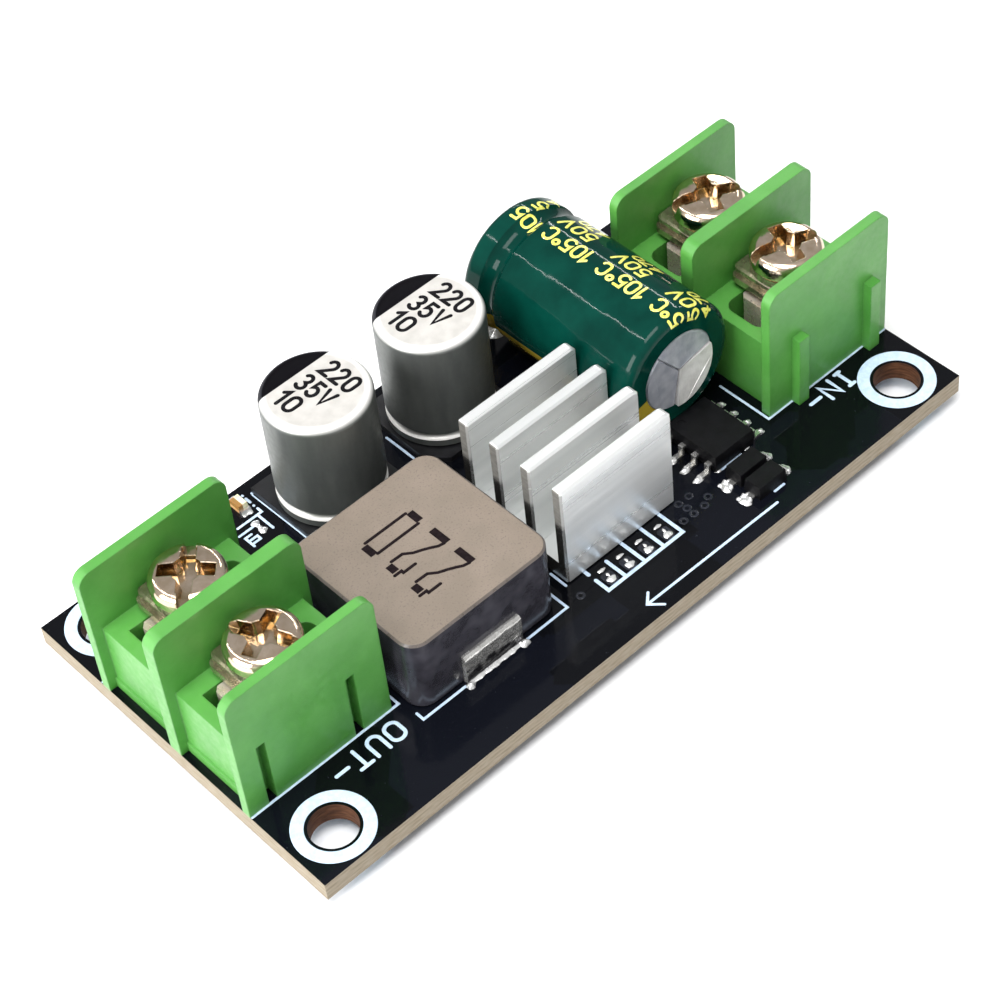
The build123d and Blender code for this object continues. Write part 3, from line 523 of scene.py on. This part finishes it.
def ridge(path, width, height, step=9.0, blunt=False):
    """One pen stroke as a low closed ridge: a flat-topped profile carried along the path.
    Its sides are mitred at the corners, and each end is drawn in over a half circle: at a distance s past
    the end the half width is that of the stroke times the cosine of the angle whose sine is s over the
    half width. A blunt stroke keeps its square ends."""
    path = np.asarray(path, float)
    run = np.diff(path, axis=0)
    length = np.hypot(run[:, 0], run[:, 1])
    keep = length > 1e-6
    path = np.concatenate([path[:1], path[1:][keep]])
    run = run[keep]
    length = length[keep]
    loop = bool(np.allclose(path[0], path[-1], atol=1e-4))
    along = np.concatenate([[0.0], np.cumsum(length)])
    spot = np.unique(np.concatenate([along, np.arange(0.0, along[-1], step)]).round(5))
    spot = spot[np.concatenate([[True], np.diff(spot) > 2e-4])]
    centre = np.stack([np.interp(spot, along, path[:, k]) for k in (0, 1)], -1)
    normal = np.stack([-run[:, 1], run[:, 0]], -1) / length[:, None]
    before = np.clip(np.searchsorted(along, spot - 1e-4, "right") - 1, 0, len(run) - 1)
    after = np.clip(np.searchsorted(along, spot + 1e-4, "right") - 1, 0, len(run) - 1)
    if loop:
        before[0] = len(run) - 1
        centre = centre[:-1]
        before = before[:-1]
        after = after[:-1]
    total = normal[before] + normal[after]
    half = width / 2
    side = total / np.maximum(0.35, (total ** 2).sum(1) / 2)[:, None] * half
    if not loop and not blunt:
        angle = np.radians([18.0, 38.0, 58.0, 74.0, 87.0])
        first = centre[0] - run[0] / length[0] * half * np.sin(angle)[::-1, None]
        last = centre[-1] + run[-1] / length[-1] * half * np.sin(angle)[:, None]
        side = np.concatenate([side[0] * np.cos(angle)[::-1, None], side, side[-1] * np.cos(angle)[:, None]])
        centre = np.concatenate([first, centre, last])
    spread = centre[:, None] + side[:, None] * profile_across[None, :, None]
    lift = np.broadcast_to(height * profile_lift, spread.shape[:2])[..., None]
    return np.concatenate([spread, lift], -1), True, loop


def flat(origin, right, up):
    """Places strokes on a plane: first value along right, second along up, third away from it."""
    right = np.array(right, float)
    up = np.array(up, float)
    out = np.cross(right, up)

    def put(grid):
        return np.array(origin, float) + grid[..., :1] * right + grid[..., 1:2] * up + grid[..., 2:] * out
    return put


def bow(centre_x, centre_y, half_width, half_height, start, end, count=12):
    """Points on an ellipse between two angles in degrees."""
    angle = np.radians(np.linspace(start, end, count))
    return np.stack([centre_x + half_width * np.cos(angle), centre_y + half_height * np.sin(angle)], -1)


def ring_of(*parts):
    """Runs of points joined into one closed path."""
    points = np.concatenate([np.asarray(p, float).reshape(-1, 2) for p in parts])
    return np.concatenate([points, points[:1]])


def stroke(*parts):
    """Runs of points joined into one open path."""
    return np.concatenate([np.asarray(p, float).reshape(-1, 2) for p in parts])


# each sign as pen strokes, one unit high, with its width
signs = {
    "0": (0.56, [ring_of(bow(0.28, 0.70, 0.28, 0.30, 0, 180), bow(0.28, 0.30, 0.28, 0.30, 180, 360))]),
    "1": (0.36, [stroke((0.04, 0.76), (0.30, 1.0), (0.30, 0.0))]),
    "2": (0.56, [stroke(bow(0.28, 0.72, 0.27, 0.28, 165, -38), (0.0, 0.0), (0.56, 0.0))]),
    "3": (0.54, [
        stroke(bow(0.26, 0.75, 0.25, 0.25, 150, -90), bow(0.26, 0.25, 0.28, 0.25, 90, -150)),
    ]),
    "4": (0.58, [stroke((0.42, 0.0), (0.42, 1.0), (0.0, 0.28), (0.58, 0.28))]),
    "5": (0.54, [
        stroke((0.50, 1.0), (0.08, 1.0), (0.04, 0.54), bow(0.25, 0.32, 0.29, 0.32, 120, -145, 16)),
    ]),
    "7": (0.52, [stroke((0.0, 1.0), (0.52, 1.0), (0.18, 0.0))]),
    "V": (0.62, [stroke((0.0, 1.0), (0.31, 0.0), (0.62, 1.0))]),
    "C": (0.56, [stroke(bow(0.30, 0.70, 0.29, 0.30, 20, 180), bow(0.30, 0.30, 0.29, 0.30, 180, 340))]),
    "o": (0.38, [ring_of(bow(0.19, 0.82, 0.18, 0.18, 0, 345, 16))]),
    "I": (0.48, [
        stroke((0.0, 1.0), (0.33, 1.0)),
        stroke((0.165, 0.96), (0.165, 0.04)),
        stroke((0.0, 0.0), (0.33, 0.0)),
    ]),
    "N": (0.68, [stroke((0.0, 0.0), (0.0, 1.0), (0.68, 0.0), (0.68, 1.0))]),
    "O": (0.69, [ring_of(bow(0.345, 0.72, 0.345, 0.28, 0, 180), bow(0.345, 0.28, 0.345, 0.28, 180, 360))]),
    "U": (0.66, [stroke((0.0, 1.0), bow(0.33, 0.3, 0.33, 0.3, 180, 360), (0.66, 1.0))]),
    "T": (0.66, [stroke((0.0, 1.0), (0.66, 1.0)), stroke((0.33, 0.96), (0.33, 0.0))]),
    "-": (0.66, [stroke((0.0, 0.5), (0.66, 0.5))]),
}


def words(text, height, width_scale, gap):
    """Strokes of a row of signs from its left end on its base line, all in millimetres."""
    strokes = []
    reach = 0.0
    for sign in text:
        width, paths = signs[sign]
        for path in paths:
            across = reach + path[:, 0] * width_scale
            strokes.append(np.stack([across * height, path[:, 1] * height], -1))
        reach += width * width_scale + gap
    return strokes


def printed(name, strokes, width, put, material, height=ink_height, blunt=False):
    """Strokes carried onto a surface as one piece, each a touch higher than the last, where two cross."""
    grids = []
    for index, path in enumerate(strokes):
        grid, across, along = ridge(path, width, height + 0.0006 * (index % 7), blunt=blunt)
        grids.append((put(grid), across, along))
    return joined(name, grids, material)


# Legend on the board

legend_lines = [
    [(-29.88, -7.71), (-17.38, -7.71), (-17.38, 8.1), (-29.88, 8.1)],
    [(17.70, -3.2), (17.71, -7.95), (29.88, -7.95)],
    [(-17.07, -9.2), (-17.07, -9.87), (-13.35, -9.87)],
    [(-7.85, -9.95), (-4.08, -9.92), (-4.08, -7.6)],
    [(-2.82, -7.0), (-2.84, -8.5)],
    [(12.36, -13.78), (-0.22, -13.66)],
    [(0.54, -12.97), (-0.22, -13.66), (0.6, -14.5)],
    [(12.0, -8.85), (13.9, -8.8)],
    [(13.0, -12.95), (13.9, -12.95)],
    [(-2.1, 10.8), (-2.1, 7.9)],
    [(-12.81, 14.14), (-12.81, 14.1)],
    [(-12.81, 13.74), (-12.81, 13.25)],
    [(-12.83, 12.84), (-12.83, 12.8)],
    [(-12.81, 12.42), (-12.81, 11.97), (-15.0, 11.97)],
    [(-13.2, 11.83), (-13.2, 10.23)],
    [(-15.37, 11.32), (-14.13, 11.32)],
    [(-14.67, 10.87), (-15.2, 10.87), (-15.2, 9.87)],
    [(-15.03, 10.47), (-14.45, 10.47), (-14.45, 10.1), (-15.03, 10.1)],
    [(-12.19, 13.83), (-12.19, 13.79)],
]
jumper_lines = [
    [(-1.12, -9.65), (-1.12, -10.9), (6.0, -10.9), (6.0, -7.6)],
    [(-1.12, -8.0), (-1.12, -8.95)],
    [(0.55, -8.95), (0.55, -10.85)],
    [(2.38, -7.6), (2.38, -10.85)],
    [(4.22, -7.6), (4.22, -10.85)],
]
on_board = flat((0, 0, board_top), (1, 0, 0), (0, 1, 0))
thin_line = [(-12.27, 13.67), (-12.2, 9.0), (-12.2, 7.84)]
printed("board_legend_lines", legend_lines, 0.2, on_board, ink["legend"])
printed("jumper_grid", jumper_lines, 0.28, on_board, ink["legend"])
printed("board_thin_line", [thin_line], 0.11, on_board, ink["legend"])
reading_left = flat((24.5, -8.45, board_top), (-1, 0, 0), (0, -1, 0))
printed("input_legend", words("IN-", 1.5, 1.0, 0.34), 0.29, reading_left, ink["legend"])
reading_left = flat((-18.5, -8.45, board_top), (-1, 0, 0), (0, -1, 0))
printed("output_legend", words("OUT-", 1.53, 1.0, 0.32), 0.27, reading_left, ink["legend"])


def ring_on_board(x, y, inner, outer, face, count=72):
    """Flat ring: a low profile from the inner to the outer radius, carried round the hole."""
    angle = np.linspace(0, 2 * math.pi, count, endpoint=False)
    across = np.array([inner, inner, inner + 0.05, outer - 0.05, outer, outer])
    lift = np.array([-0.5, 0.6, 1.0, 1.0, 0.6, -0.5]) * ring_height
    level = board_top + lift if face > 0 else -lift
    grid = np.stack([
        x + across * np.cos(angle)[:, None],
        y + across * np.sin(angle)[:, None],
        np.broadcast_to(level, (count, 6)),
    ], -1)
    return grid, True, True


rings = [
    ring_on_board(end * hole_x, side * hole_y, ring_inner, ring_outer, face)
    for end in (-1, 1) for side in (-1, 1) for face in (-1, 1)
]
joined("mounting_hole_rings", rings, ink["legend"])


# Printing on the upright capacitors: rows read toward -Y, each with its text, the X of its base line and
# the Y of its start on the front can, and the width of its signs

rating_rows = (
    ("220", -6.66, 10.92, 0.9),
    ("35V", -8.68, 11.2, 0.9),
    ("10", -10.62, 11.2, 1.0),
)
rating_edge = 11.4
for place, x in can_positions.items():
    rows = []
    for text, base, start, scale in rating_rows:
        shift = np.array([rating_edge - start, base - can_positions["front"]])
        rows += [path + shift for path in words(text, 1.4, scale, 0.3)]
    put = flat((x, rating_edge, can_top), (0, -1, 0), (1, 0, 0))
    printed(place + "_capacitor_rating", rows, 0.29, put, ink["can"])


# Burned digits on the inductor: thin pixel strokes with blocks at their ends

def burned_two(near):
    """A digit 2 read toward +Y with its top toward -X, as thin runs and thick bars, from its near end on."""
    thin = [
        [
            (-12.7, 1.45), (-11.75, 1.42), (-11.2, 0.98), (-10.6, 0.72), (-10.1, 0.46), (-9.67, 0.2),
            (-9.22, 0.1),
        ],
        [(-13.33, 0.38), (-12.75, 0.38), (-12.75, 0.17), (-11.72, 0.17)],
    ]
    bars = [[(-9.0, 1.56), (-9.0, 0.02)], [(-13.04, 1.32), (-13.04, 0.6)]]
    return [[np.array(path) + np.array([0.0, near]) for path in paths] for paths in (thin, bars)]


thin = [[(-12.83, -0.30), (-9.25, -0.30)], [(-12.83, -1.58), (-9.25, -1.58)]]
bars = [[(-13.06, -0.47), (-13.06, -1.5)], [(-9.0, -0.42), (-9.0, -1.47)]]
for near in (-6.68, -4.22):
    more_thin, more_bars = burned_two(near)
    thin += more_thin
    bars += more_bars
on_core = flat((0, 0, inductor_top), (1, 0, 0), (0, 1, 0))
printed("inductor_value_strokes", thin, 0.24, on_core, ink["burned"], 0.012)
printed("inductor_value_blocks", bars, 0.58, on_core, ink["burned"], 0.014, blunt=True)


# Printing on the lying capacitor's sleeve

quarter = np.radians(np.linspace(0, 90, 13))
near_bend = np.stack([
    sleeve_near + sleeve_edge - sleeve_edge * np.cos(quarter),
    sleeve_radius - sleeve_edge + sleeve_edge * np.sin(quarter),
], -1)
# the crimp is an arc through its two ends and its deepest point
crimp_bend = (crimp_half ** 2 + crimp_depth ** 2) / (2 * crimp_depth)
crimp_turn = np.linspace(-1, 1, 25) * math.asin(crimp_half / crimp_bend)
crimp = np.stack([
    crimp_y + crimp_bend * np.sin(crimp_turn),
    sleeve_radius - crimp_depth + crimp_bend - crimp_bend * np.cos(crimp_turn),
], -1)
sleeve_line = np.concatenate([
    [[sleeve_near, vent_radius + 0.25]],
    near_bend,
    crimp,
    [[sleeve_far - sleeve_edge, sleeve_radius]],
])
sleeve_run = np.diff(sleeve_line, axis=0)
sleeve_along = np.concatenate([[0.0], np.cumsum(np.hypot(sleeve_run[:, 0], sleeve_run[:, 1]))])
straight_start = sleeve_along[len(near_bend)]


def on_sleeve(start, angle):
    """Places strokes on the sleeve: first value along its outline, from the vent's ring over the shoulder
    toward +Y, second value round it as an arc, third away from it."""
    def put(grid):
        distance = grid[..., 0] + start - (sleeve_near + sleeve_edge) + straight_start
        y = np.interp(distance, sleeve_along, sleeve_line[:, 0])
        radius = np.interp(distance, sleeve_along, sleeve_line[:, 1])
        y2 = np.interp(distance + 0.01, sleeve_along, sleeve_line[:, 0])
        radius2 = np.interp(distance + 0.01, sleeve_along, sleeve_line[:, 1])
        size = np.hypot(y2 - y, radius2 - radius) + 1e-9
        out_y = -(radius2 - radius) / size
        out_radius = (y2 - y) / size
        turn = np.radians(angle) + grid[..., 1] / sleeve_radius
        radius = radius + grid[..., 2] * out_radius
        y = y + grid[..., 2] * out_y
        return np.stack([sleeve_x + radius * np.cos(turn), y, sleeve_axis + radius * np.sin(turn)], -1)
    return put


def sleeve_print(name, text, starts, angle, height, width_scale, gap):
    """One row of print, repeated along the sleeve, clipped to the length that the outline covers."""
    grids = []
    lowest = sleeve_near + sleeve_edge - straight_start + 0.2
    highest = sleeve_near + sleeve_edge - straight_start + sleeve_along[-1] - 0.12
    for start in starts:
        for index, path in enumerate(words(text, height, width_scale, gap)):
            reach = path[:, 0] + start
            if reach.min() < lowest or reach.max() > highest:
                continue
            grid, across, along = ridge(path, 0.22, ink_height + 0.0005 * (index % 5), 0.15)
            grids.append((on_sleeve(start, angle)(grid), across, along))
    return joined(name, grids, ink["sleeve"])


sleeve_print("sleeve_temperature_row", "105oC", (9.75, 4.4, -0.95, -6.3), 82, 1.25, 1.02, 0.24)
sleeve_print("sleeve_rating_row", "50V", (11.25, 5.9, 0.55, -4.8), 62, 1.15, 1.15, 0.3)
sleeve_print("sleeve_lot_row", "470", (11.45, 6.1, 0.75, -4.6), 46, 0.95, 1.1, 0.3)


# Vent face of the lying capacitor: three dished sectors that meet in a Y; the lower one takes a paler copy
# of the bare aluminium as a painted highlight

def vent_sector(first, last, depth, lean_x, lean_z):
    """One sector of the disc. From the centre to the rim and from one score to the next the face is sunk by
    the depth times a power of the sine of half a turn of each parameter, and it leans with x and z."""
    out = np.linspace(0.0, 1.0, 16)[:, None]
    share = np.linspace(0.0, 1.0, 24)[None, :]
    radius = 0.1 + (vent_radius - 0.18) * out
    gap = 0.07 / radius * (1 - 2 * share)
    angle = np.radians(first + (last - first) * share) + gap
    sunk = depth * np.sin(math.pi * out) ** 0.8 * np.sin(math.pi * share) ** 0.6
    x = radius * np.cos(angle)
    z = radius * np.sin(angle)
    y = sleeve_near - 0.04 + sunk + lean_x * x + lean_z * z
    front = np.stack([sleeve_x + x, y, sleeve_axis + z], -1)
    back = front.copy()
    back[..., 1] = sleeve_near + 0.14
    return np.concatenate([front, back[:, ::-1]], 1), True, False


joined("vent_upper_sector", [vent_sector(10, 128, 0.06, 0.01, 0.02)], finish["bare_can"])
joined("vent_left_sector", [vent_sector(128, 260, 0.08, 0.03, -0.01)], finish["bare_can"])
# painted highlight: the lower sector takes the paler copy of the aluminium
joined("vent_lower_sector", [vent_sector(260, 370, 0.05, -0.05, 0.1)], finish["painted_highlight_can"])


# Solder: concave fillets at the feet, and lumps on the pads

def fillet(x, y, direction, width, reach, height):
    """Solder drawn up against an end face. Across the width u runs from -1 to 1, and down the profile v runs
    from 0 to 1. The surface lies reach times v times (1 - 0.3 u^4) out from the face, and height times
    (1 - v)^2 times (1 - 0.35 u^6) above the board, with a slow wave along the width."""
    u = np.linspace(-1, 1, 25)[:, None]
    v = np.linspace(0, 1, 9)[None, :]
    wave = 1 + 0.14 * np.sin(4.3 * u * width + x) + 0.1 * np.sin(2.1 * width * u + y)
    out = reach * v * (1 - 0.3 * u ** 4) * wave
    up = height * (1 - v) ** 2 * wave * (1 - 0.35 * u ** 6) + 0.015
    out = np.concatenate([np.full_like(u, -0.04), out, np.full_like(u, -0.04)], 1)
    up = np.concatenate([up[:, :1], up, np.full_like(u, -0.03)], 1)
    up[:, -2] = -0.03
    side = np.broadcast_to(u * width / 2, out.shape)
    across, along = direction
    grid = np.stack([x + out * across - side * along, y + out * along + side * across, board_top + up], -1)
    return grid, True, False


def lump(x, y, half_x, half_y, height, phase, level=board_top):
    """Melted drop: at share r of its outline it stands height times (1 - r^2.4), and its outline
    wanders by a tenth with three and five waves round it."""
    share = np.array([1.04, 1.0, 0.93, 0.82, 0.68, 0.52, 0.35, 0.18, 0.05])[:, None]
    angle = np.linspace(0, 2 * math.pi, 28, endpoint=False)[None, :]
    wander = 1 + 0.09 * np.sin(3 * angle + phase) + 0.05 * np.sin(5 * angle + 2 * phase)
    up = height * (1 - np.minimum(share, 1.0) ** 2.4) + np.where(share > 1.0, -0.05, 0.0)
    grid = np.stack([
        x + half_x * share * wander * np.cos(angle),
        y + half_y * share * wander * np.sin(angle),
        level + up + 0 * angle,
    ], -1)
    return grid, True, False


chip_rows = [chip_y + (k - 1.5) * lead_pitch for k in range(4)]
fillets = []
lumps = []
for side in (-1, 1):
    clip_y = inductor_y + side * (clip_face + 0.2)
    fillets.append(fillet(inductor_x, inductor_y + side * clip_face, (0, side), 5.1, 0.26, 0.18))
    lumps.append(lump(inductor_x - clip_corner, clip_y, 0.35, 0.3, 0.3, 1.0))
    lumps.append(lump(inductor_x + clip_corner, clip_y, 0.4, 0.32, 0.34, 2.6))
    for x in can_positions.values():
        fillets.append(fillet(x, can_y + side * can_foot, (0, side), 0.9, 0.38, 0.25))
    for y in chip_rows:
        fillets.append(fillet(chip_x + side * chip_foot, y, (side, 0), 0.5, 0.4, 0.22))
    for y in diode_rows:
        fillets.append(fillet(diode_x + side * diode_foot, y, (side, 0), 0.95, 0.48, 0.32))
    fillets.append(fillet(indicator_x, indicator_y + side * indicator_foot, (0, side), 0.8, 0.35, 0.28))
for index, y in enumerate(chip_rows):
    lumps.append(lump(chip_x - chip_foot - 0.1, y, 0.5, 0.27, 0.24, 0.7 * index))
    lumps.append(lump(chip_x + chip_foot + 0.1, y, 0.3, 0.25, 0.24, 1.1 * index))
for y in diode_rows:
    lumps.append(lump(10.95, y - 0.05, 0.4, 0.5, 0.2, y))
    lumps.append(lump(10.8, y + 0.38, 0.2, 0.24, 0.16, 0.4))
    lumps.append(lump(11.45, y + 0.25, 0.3, 0.2, 0.2, 1.9))
    lumps.append(lump(14.95, y - 0.3, 0.22, 0.24, 0.22, 2.2))
# between chip and diodes, near the lying capacitor's far end, and beside the lamp, where three join
for x, y, half_x, half_y, height, phase in (
    (11.75, -8.75, 0.26, 0.2, 0.1, 0.3),
    (14.6, -8.7, 0.27, 0.22, 0.14, 1.3),
    (10.7, 13.0, 1.0, 0.85, 0.5, 0.9),
    (-13.82, 11.45, 0.32, 0.3, 0.12, 0.2),
    (-13.82, 10.6, 0.32, 0.32, 0.12, 1.7),
    (-13.82, 11.03, 0.17, 0.34, 0.13, 2.9),
):
    lumps.append(lump(x, y, half_x, half_y, height, phase))
# on the jumper's pads, which stand 0.1 mm above the board, and on the board beside them
jumper_level = board_top + 0.1
for index, x in enumerate(jumper_columns):
    lumps.append(lump(x + 0.02, -10.38, 0.4, 0.3, 0.12, index, jumper_level))
    lumps.append(lump(x + 0.1, -9.93, 0.13, 0.2, 0.07, 1.3 * index, jumper_level))
    lumps.append(lump(x + 0.1, -9.28, 0.34, 0.15, 0.06, index + 1.0))
made = joined("foot_solder_fillets", fillets, finish["solder"])
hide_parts("foot_solder_joints")
joined("solder_lumps", lumps, finish["solder"])

via_places = (
    (-2.75, -9.85), (8.62, -8.9), (6.75, -10.25), (7.75, -9.6), (7.7, -10.3), (8.75, -10.3), (9.5, -9.9),
    (7.6, -8.9),
)
vias = [ring_on_board(x, y, 0.16, 0.34, 1, count=24) for x, y in via_places]
joined("covered_vias", vias, finish["covered_copper"])


# Floor, lights and camera

def studio():
    """Pale floor, pale surroundings, two wide lamps at the left and above, and two strip lamps behind.
    Sizes and places here are in metres."""
    plane = bpy.data.meshes.new("floor")
    reach = 0.9
    # a touch below the ends of the pins
    low = cad_box[0][2] - 0.03 * mm
    corners = [(-reach, -reach, low), (reach, -reach, low), (reach, reach, low), (-reach, reach, low)]
    plane.from_pydata(corners, [], [(0, 1, 2, 3)])
    floor = bpy.data.objects.new("floor", plane)
    bpy.context.scene.collection.objects.link(floor)
    plane.materials.append(moulded("pale_paper", "#f4f4f5", "#f8f8f8", (0.7, 0.8), 2.0, 0.01, IOR=1.45))
    world = bpy.data.worlds.new("studio")
    world.use_nodes = True
    tree = world.node_tree
    # the surroundings are pale on the lamps' side and darker beyond the object
    sky = add(tree, "TexCoord", out="Generated")
    side = add(tree, "VectorMath", {0: sky, 1: (-0.62, -0.68, 0.38)}, "Value", operation="DOT_PRODUCT")
    share = add(tree, "MapRange", {0: side, 1: -0.6, 2: 0.5})
    tone = add(tree, "Mix", {0: share, 6: linear("#c9cacc"), 7: linear("#ffffff")}, 2, data_type="RGBA")
    tree.links.new(tone, tree.nodes["Background"].inputs[0])
    tree.nodes["Background"].inputs[1].default_value = 0.62
    bpy.context.scene.world = world
    for name, place, along, size, power in (
        ("left_lamp", (-0.40, 0.04, 0.19), (0, -1, 0), (0.30, 0.22), 2.4),
        ("rear_strip_lamp", (-0.143, 0.216, 0.308), (0, 1, 0), (0.30, 0.006), 0.25),
        ("right_strip_lamp", (0.285, 0.216, 0.216), (0, 1, 0), (0.30, 0.006), 0.25),
        ("top_lamp", (-0.10, -0.06, 0.45), (1, 0, 0), (0.26, 0.26), 2.1),
    ):
        data = bpy.data.lights.new(name, "AREA")
        data.shape = "RECTANGLE"
        data.size, data.size_y = size
        data.energy = power
        lamp = bpy.data.objects.new(name, data)
        bpy.context.scene.collection.objects.link(lamp)
        back = np.array(place) - (0.0, 0.0, 0.004)
        back /= np.linalg.norm(back)
        right = np.array(along, float)
        right -= right.dot(back) * back
        right /= np.linalg.norm(right)
        up = np.cross(back, right)
        turn = np.eye(4)
        turn[:3] = np.stack([right, up, back, place], -1)
        lamp.matrix_world = Matrix(turn.tolist())
    bpy.context.scene.view_settings.view_transform = "Standard"


def camera():
    """The photograph's view, found from the board's corners, the housings and the capacitors' outlines."""
    data = bpy.data.cameras.new("view")
    data.lens = 96.86
    data.sensor_width = 36.0
    data.clip_start = 0.01
    data.clip_end = 10.0
    view = bpy.data.objects.new("view", data)
    bpy.context.scene.collection.objects.link(view)
    right = (0.72889476, -0.68000504, -0.07940764)
    up = (0.54880283, 0.51100331, 0.66158225)
    back = (-0.4093017, -0.52580297, 0.74565633)
    place = (-0.07746285, -0.09827604, 0.1416272)
    turn = np.eye(4)
    turn[:3] = np.stack([right, up, back, place], -1)
    view.matrix_world = Matrix(turn.tolist())
    bpy.context.scene.camera = view


studio()
camera()


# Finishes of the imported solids

own_finish = {
    "inductor_near_clip": "clip",
    "inductor_far_clip": "clip",
    "jumper_solder_pads": "covered_copper",
}
for node_name, node in nodes.items():
    material = finish[own_finish.get(node_name, slot_of[node_name])]
    node.data.materials.clear()
    node.data.materials.append(material)
